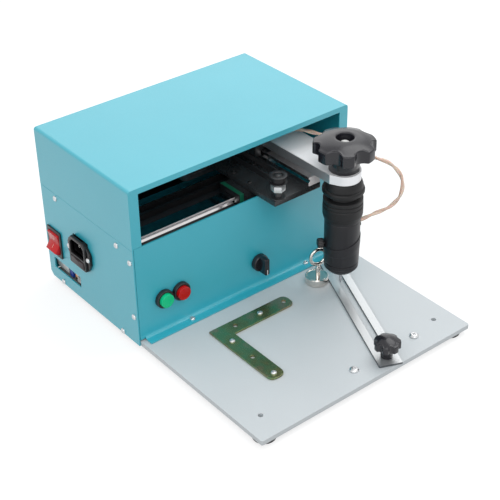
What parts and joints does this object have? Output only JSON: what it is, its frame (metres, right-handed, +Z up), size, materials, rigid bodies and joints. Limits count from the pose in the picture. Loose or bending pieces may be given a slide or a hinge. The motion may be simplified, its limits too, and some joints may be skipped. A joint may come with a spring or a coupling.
{
  "type": "nameplate marking machine",
  "caption": "Desktop dot-peen marking machine: painted sheet housing, base plate, and an arm on X and Y rails carrying a marking head with a height knob, over work holders.",
  "frame": {"origin": "middle of the machine's box on the surface that its feet stand on", "axes": "+Z up, +X to the right along the housing's front, +Y from the front to the back"},
  "size_m": [0.2794, 0.3535, 0.1876],
  "materials": {
    "turquoise_paint": "satin powder coat",
    "grey_plate": "pale grey satin",
    "black_rubber": "matt",
    "black_plastic": "semi-gloss",
    "black_metal": "black oxide, satin",
    "red_plastic": "gloss",
    "green_lens": "gloss",
    "red_lens": "gloss",
    "green_end_cap": "matt",
    "bearing_steel": "ground",
    "arm_aluminium": "fine brushed",
    "bright_steel": "bright",
    "nickel": "nickel plated",
    "zinc_chromate": "yellow-olive zinc chromate",
    "board_green": "solder mask",
    "blue_plastic": "moulded",
    "copper_winding": "enamelled copper",
    "wire_insulation": "clear insulation over copper"
  },
  "bodies": {
    "machine": {"base_plate": "grey_plate", "foot_front_left": "black_rubber", "foot_front_right": "black_rubber", "foot_back_left": "black_rubber", "foot_back_right": "black_rubber", "left_side_panel": "turquoise_paint", "right_side_panel": "turquoise_paint", "rear_panel": "turquoise_paint", "front_panel": "turquoise_paint", "top_cover": "turquoise_paint", "power_inlet": "black_plastic", "switch_rim": "black_plastic", "control_board": "board_green", "usb_port": "bearing_steel", "port_terminal": "blue_plastic", "power_supply": "bearing_steel", "green_button_body": "black_plastic", "red_button_body": "black_plastic", "speed_pot": "bearing_steel", "rail_shelf": "black_metal", "x_rail": "bearing_steel", "x_motor": "black_metal", "x_belt": "black_rubber", "clamp_backing_bar": "bright_steel", "corner_bracket": "zinc_chromate"},
    "fuse_tray": {"fuse_drawer": "black_plastic"},
    "rocker": {"switch_rocker": "red_plastic"},
    "green_button": {"green_button_cap": "green_lens"},
    "red_button": {"red_button_cap": "red_lens"},
    "speed_dial": {"speed_knob": "black_plastic"},
    "x_drive": {"x_drive_pulley": "bearing_steel"},
    "x_idler": {"x_idler_pulley": "bearing_steel"},
    "x_carriage": {"x_block": "black_metal", "x_block_cap_left": "green_end_cap", "x_block_cap_right": "green_end_cap", "y_plate": "black_metal", "y_rail": "bearing_steel", "y_motor": "black_metal", "y_idler_bolt": "bright_steel", "y_belt": "black_rubber"},
    "y_drive": {"y_drive_pulley": "bearing_steel"},
    "y_idler": {"y_idler_pulley": "bearing_steel"},
    "arm_carriage": {"y_block": "black_metal", "head_arm": "arm_aluminium", "head_bellows": "black_rubber", "head_wire": "wire_insulation"},
    "height_knob": {"head_knob": "black_plastic"},
    "head": {"head_spindle": "bright_steel", "head_body": "black_metal", "head_coil": "copper_winding", "head_sleeve": "black_metal", "needle_guide": "black_metal", "needle_spring": "bright_steel"},
    "needle_rod": {"needle": "bright_steel"},
    "sleeve_screw": {"thumb_screw": "black_plastic"},
    "clamp_pivot": {"clamp_stud": "bright_steel"},
    "clamp_slide": {"clamp_bar": "bright_steel"},
    "clamp_nut": {"clamp_knob": "black_plastic"},
    "magnet": {"magnet_pot": "nickel", "magnet_eye": "nickel"}
  },
  "joints": [
    {"name": "x_travel", "type": "slide", "parent": "machine", "child": "x_carriage", "axis": [1, 0, 0], "range_m": [-0.125, 0.018]},
    {"name": "y_travel", "type": "slide", "parent": "x_carriage", "child": "arm_carriage", "axis": [0, -1, 0], "range_m": [0, 0.07]},
    {"name": "head_height", "type": "slide", "parent": "arm_carriage", "child": "head", "axis": [0, 0, 1], "range_m": [-0.0012, 0.015], "deforming": ["head_bellows"]},
    {"name": "height_knob_turn", "type": "hinge", "parent": "arm_carriage", "child": "height_knob", "pos_m": [0.08157, -0.04573, 0.176], "axis": [0, 0, 1], "range_deg": [-144.5, 1800.5]},
    {"name": "needle_stroke", "type": "slide", "parent": "head", "child": "needle_rod", "axis": [0, 0, -1], "range_m": [0, 0.0024], "stiffness_N_per_m": 400, "springref_m": -0.001, "deforming": ["needle_spring"]},
    {"name": "sleeve_screw_turn", "type": "hinge", "parent": "head", "child": "sleeve_screw", "pos_m": [0.06728, -0.03748, 0.0685], "axis": [-0.866, 0.5, 0], "range_deg": [-360, 0]},
    {"name": "switch_rock", "type": "hinge", "parent": "machine", "child": "rocker", "pos_m": [-0.13033, 0.15837, 0.0555], "axis": [0, 1, 0], "range_deg": [0, 20]},
    {"name": "green_button_press", "type": "slide", "parent": "machine", "child": "green_button", "axis": [0, 1, 0], "range_m": [0, 0.003], "stiffness_N_per_m": 300, "springref_m": -0.002},
    {"name": "red_button_press", "type": "slide", "parent": "machine", "child": "red_button", "axis": [0, 1, 0], "range_m": [0, 0.003], "stiffness_N_per_m": 300, "springref_m": -0.002},
    {"name": "speed_turn", "type": "hinge", "parent": "machine", "child": "speed_dial", "pos_m": [0.01907, 0.01177, 0.0412], "axis": [0, -1, 0], "range_deg": [-150, 150]},
    {"name": "fuse_tray_slide", "type": "slide", "parent": "machine", "child": "fuse_tray", "axis": [-1, 0, 0], "range_m": [0, 0.012]},
    {"name": "clamp_swing", "type": "hinge", "parent": "machine", "child": "clamp_pivot", "pos_m": [0.03607, -0.16083, 0.011], "axis": [0, 0, 1], "range_deg": [-32, 0]},
    {"name": "clamp_bar_slide", "type": "slide", "parent": "clamp_pivot", "child": "clamp_slide", "axis": [-0.3987, -0.9171, 0], "range_m": [0, 0.09]},
    {"name": "clamp_nut_turn", "type": "hinge", "parent": "clamp_pivot", "child": "clamp_nut", "pos_m": [0.03607, -0.16083, 0.011], "axis": [0, 0, 1], "range_deg": [-360, 0]},
    {"name": "magnet_slide", "type": "slide", "parent": "machine", "child": "magnet", "axis": [-1, 0, 0], "range_m": [0, 0.03]},
    {"name": "x_drive_turn", "type": "hinge", "parent": "machine", "child": "x_drive", "pos_m": [-0.10383, 0.06977, 0.111], "axis": [0, 0, 1], "range_deg": [-1125.33, 162.9]},
    {"name": "x_idler_turn", "type": "hinge", "parent": "machine", "child": "x_idler", "pos_m": [0.11467, 0.06977, 0.111], "axis": [0, 0, 1], "range_deg": [-1125.33, 162.9]},
    {"name": "y_drive_turn", "type": "hinge", "parent": "x_carriage", "child": "y_drive", "pos_m": [0.02587, 0.13677, 0.147], "axis": [0, 0, 1], "range_deg": [-1, 630.62]},
    {"name": "y_idler_turn", "type": "hinge", "parent": "x_carriage", "child": "y_idler", "pos_m": [0.02587, -0.01223, 0.147], "axis": [0, 0, 1], "range_deg": [-1, 630.62]}
  ],
  "couplings": [
    {"joint": "x_drive_turn", "follows": "x_travel", "rad_per_m": 156.99},
    {"joint": "x_idler_turn", "follows": "x_travel", "rad_per_m": 156.99},
    {"joint": "y_drive_turn", "follows": "y_travel", "rad_per_m": 156.99},
    {"joint": "y_idler_turn", "follows": "y_travel", "rad_per_m": 156.99},
    {"joint": "height_knob_turn", "follows": "head_height", "rad_per_m": 2094.4}
  ]
}
